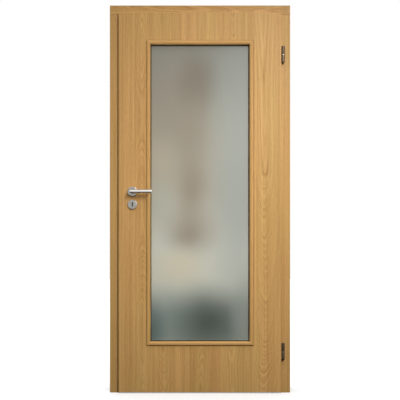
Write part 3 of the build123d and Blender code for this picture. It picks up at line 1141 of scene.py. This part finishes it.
class DOOR_OT_seals(Operator):
    """Run the rubber seals round the glass and round the stop"""

    bl_idname = "door.seals"
    bl_label = "Rubber seals"

    def execute(self, context):
        rubber = rubber_material("dark_brown_rubber", (0.030, 0.018, 0.008))
        tree = gasket_tree()
        for face in FACES:
            node = f"{face}_glazing_seal"
            low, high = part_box(node)
            width = 0.012
            half = width / 2
            y = (low.y + high.y) / 2
            corners = [
                Vector((x, y, z))
                for x, z in (
                    (low.x + half, low.z + half),
                    (high.x - half, low.z + half),
                    (high.x - half, high.z - half),
                    (low.x + half, high.z - half),
                )
            ]
            values = {
                "Side": high.y - low.y,
                "Rise": width * sqrt(2),
                "Round": 0.0011,
                "Material": rubber,
            }
            curve = path_curve(node, corners, True)
            seal = grow(f"{face}_glass_gasket", curve, tree, values, "leaf")
            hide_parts(node)
        stop_rubber = rubber_material("stop_rubber", slot_colour("rubber_seal"))
        for side in ("hinge_side", "lock_side", "head"):
            node = f"seal_{side}"
            centre, size = centre_of(node), size_of(node)
            level = side == "head"
            reach = ACROSS * size.x / 2 if level else UP * size.z / 2
            values = {
                "Side": size.y if level else size.x,
                "Rise": size.z if level else size.y,
                "Round": size.y * 0.45,
                "Material": stop_rubber,
            }
            curve = path_curve(node, (centre - reach, centre + reach), False)
            seal = grow(f"stop_{side}_seal", curve, tree, values, "frame")
            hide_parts(node)
        return {"FINISHED"}


class DOOR_OT_lock(Operator):
    """Finish the forend, the bolts and the strike plate, and set their screws"""

    bl_idname = "door.lock"
    bl_label = "Lock plates"

    def execute(self, context):
        metal = context.scene.door_metal
        steel = metal_material("lock_plate_steel", metal.steel, 0.34, (600, 600, 25))
        bolt_steel = metal_material("bolt_steel", metal.steel, 0.28, (40, 500, 500))
        dress(steel, "lock_forend", "strike_plate")
        dress(bolt_steel, "latch_bolt", "dead_bolt")
        tree = screw_tree()
        for node, body, turn, inset, name in (
            ("lock_forend", "leaf", -90, 0.010, "forend_screws"),
            ("strike_plate", "frame", 90, 0.011, "strike_screws"),
        ):
            low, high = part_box(node)
            x = low.x if turn < 0 else high.x
            y = (low.y + high.y) / 2
            mesh = bpy.data.meshes.new(name + "_points")
            mesh.from_pydata([(x, y, low.z + inset), (x, y, high.z - inset)], [], [])
            values = {
                "Radius": 0.0038,
                "Height": 0.0012,
                "Turn": (0.0, radians(turn), 0.0),
                "Material": bolt_steel,
            }
            grow(name, mesh, tree, values, body)
        return {"FINISHED"}


# Stage


# From the middle of the floor to its edges
FLOOR_REACH = 6.0


class DOOR_OT_stage(Operator):
    """Lay the floor, hang the lamps and place the camera"""

    bl_idname = "door.stage"
    bl_label = "Stage"

    def execute(self, context):
        stage = context.scene.door_stage
        scene = context.scene
        scene.view_settings.view_transform = "Standard"

        shape = bmesh.new()
        corners = [
            shape.verts.new((DOOR_MIDDLE.x + x * FLOOR_REACH, y * FLOOR_REACH, 0.0))
            for x, y in ((-1, -1), (1, -1), (1, 1), (-1, 1))
        ]
        shape.faces.new(corners)
        floor = link_object("stage_floor", mesh_of("stage_floor", shape))
        floor.data.materials.append(floor_material())

        self.hang_lamps(stage)
        self.set_world(scene, stage)
        self.place_camera(scene, stage)
        return {"FINISHED"}

    def hang_lamps(self, stage):
        place = (1.25, LEAF_FRONT - 2.9, 2.5)
        key = self.hang("key_lamp", stage.key, place, (0.0, LEAF_FRONT, 0.95))
        key.shape = "RECTANGLE"
        key.size = 0.3
        key.size_y = 1.5
        key.spread = radians(60)
        place = (-1.2, LEAF_BACK + 2.8, 2.4)
        rear = self.hang("rear_lamp", stage.rear, place, (0.0, LEAF_BACK, 1.0))
        rear.shape = "DISK"
        rear.size = 1.2

    def hang(self, name, power, place, aim):
        """An area lamp, placed and aimed from the middle of the doorway at floor level."""
        lamp = bpy.data.lights.new(name, "AREA")
        lamp.energy = power
        doorway = Vector((DOOR_MIDDLE.x, 0, 0))
        start = doorway + Vector(place)
        line = doorway + Vector(aim) - start
        turn = line.to_track_quat("-Z", "Y").to_matrix().to_4x4()
        link_object(name, lamp).matrix_world = Matrix.Translation(start) @ turn
        return lamp

    def set_world(self, scene, stage):
        world = bpy.data.worlds.new("studio")
        world.use_nodes = True
        world.node_tree.nodes.clear()
        w = Wiring(world.node_tree)
        path = w.add("LightPath").outputs
        seen = w.math("MAXIMUM", path["Is Camera Ray"], path["Is Glossy Ray"])
        seen = w.math("MAXIMUM", seen, path["Is Transmission Ray"])
        up = w.add("SeparateXYZ", Vector=w.add("TexCoord").outputs["Generated"]).outputs["Z"]
        sky = w.span(up, 0.3, 0.95, 0.05, stage.fill, smooth=True)
        strength = w.span(seen, 0.0, 1.0, sky, 1.0)
        back = w.add("Background", Color=(1, 1, 1, 1), Strength=strength)
        output = w.add("OutputWorld")
        w.feed(output.inputs["Surface"], back.outputs[0])
        scene.world = world

    def place_camera(self, scene, stage):
        lens = bpy.data.cameras.new("camera")
        lens.sensor_width = 36.0
        lens.lens = lens.sensor_width * stage.distance / stage.view_width
        lens.clip_end = 50.0
        camera = link_object("camera", lens)
        camera.location = (DOOR_MIDDLE.x, LEAF_FRONT - stage.distance, stage.eye)
        camera.rotation_euler = (radians(90), 0, 0)
        scene.camera = camera


def floor_material():
    """A pale floor that the camera sees as white, and that keeps the door's shadow.

    Before the door it is dark for bounced and mirrored light alone, which dims what reaches
    the door from below.
    """
    material, w, output = new_material("stage_floor")
    path = w.add("LightPath").outputs
    seen = w.math("MAXIMUM", path["Is Camera Ray"], path["Is Transmission Ray"])
    place = w.place()
    away = w.stretch(place, (1, 1, 0), (-DOOR_MIDDLE.x, 0, 0))
    parts = w.add("SeparateXYZ", Vector=away).outputs

    # The dark part: it fades out at its sides, far before the door and under the leaf
    dark = w.span(w.math("ABSOLUTE", parts["X"]), 1.6, 2.0, 1.0, 0.0, smooth=True)
    for outer, inner in ((-3.8, -3.4), (0.3, 0.03)):
        fade = w.span(parts["Y"], LEAF_FRONT + outer, LEAF_FRONT + inner, smooth=True)
        dark = w.times(dark, fade)
    dark = w.times(dark, w.math("SUBTRACT", 1.0, seen))

    # The glow is weaker near the door, so that the shadow shows there
    away = w.add("VectorMath", {"operation": "LENGTH"}, Vector=away).outputs["Value"]
    glow = w.math("MAXIMUM", seen, path["Is Glossy Ray"])
    spread = w.span(away, 0.6, FLOOR_REACH * 0.7, 0.42, 1.0, smooth=True)
    glow = w.times(glow, spread)
    glow = w.times(glow, w.math("SUBTRACT", 1.0, dark))
    paint = w.add("BsdfDiffuse", Color=w.mix(dark, (0.5, 0.5, 0.5), (0.02, 0.02, 0.02)))
    light = w.add("Emission", Color=(1, 1, 1, 1), Strength=glow)
    both = w.fill(w.add("AddShader"), paint.outputs[0], light.outputs[0])
    w.feed(output.inputs["Surface"], both)
    return material


STEPS = (
    DOOR_OT_leaf,
    DOOR_OT_frame,
    DOOR_OT_beads,
    DOOR_OT_glass,
    DOOR_OT_seals,
    DOOR_OT_levers,
    DOOR_OT_roses,
    DOOR_OT_hinges,
    DOOR_OT_lock,
    DOOR_OT_stage,
)
SETTINGS = {
    "door_oak": DoorOakSettings,
    "door_glass": DoorGlassSettings,
    "door_metal": DoorMetalSettings,
    "door_stage": DoorStageSettings,
}


class DOOR_PT_panel(Panel):
    """Lists the steps that finish the door"""

    bl_idname = "DOOR_PT_panel"
    bl_label = "Glazed door"
    bl_space_type = "VIEW_3D"
    bl_region_type = "UI"
    bl_category = "Door"

    def draw(self, context):
        for name, group in SETTINGS.items():
            settings = getattr(context.scene, name)
            box = self.layout.box()
            for key in group.__annotations__:
                box.prop(settings, key)
        for step in STEPS:
            self.layout.operator(step.bl_idname)


def register():
    for group in (*SETTINGS.values(), *STEPS, DOOR_PT_panel):
        bpy.utils.register_class(group)
    for name, group in SETTINGS.items():
        setattr(bpy.types.Scene, name, PointerProperty(type=group))


def unregister():
    for name in SETTINGS:
        delattr(bpy.types.Scene, name)
    for group in reversed((*SETTINGS.values(), *STEPS, DOOR_PT_panel)):
        bpy.utils.unregister_class(group)


def main():
    register()
    for step in STEPS:
        area, name = step.bl_idname.split(".")
        getattr(getattr(bpy.ops, area), name)()


if __name__ == "__main__":
    main()
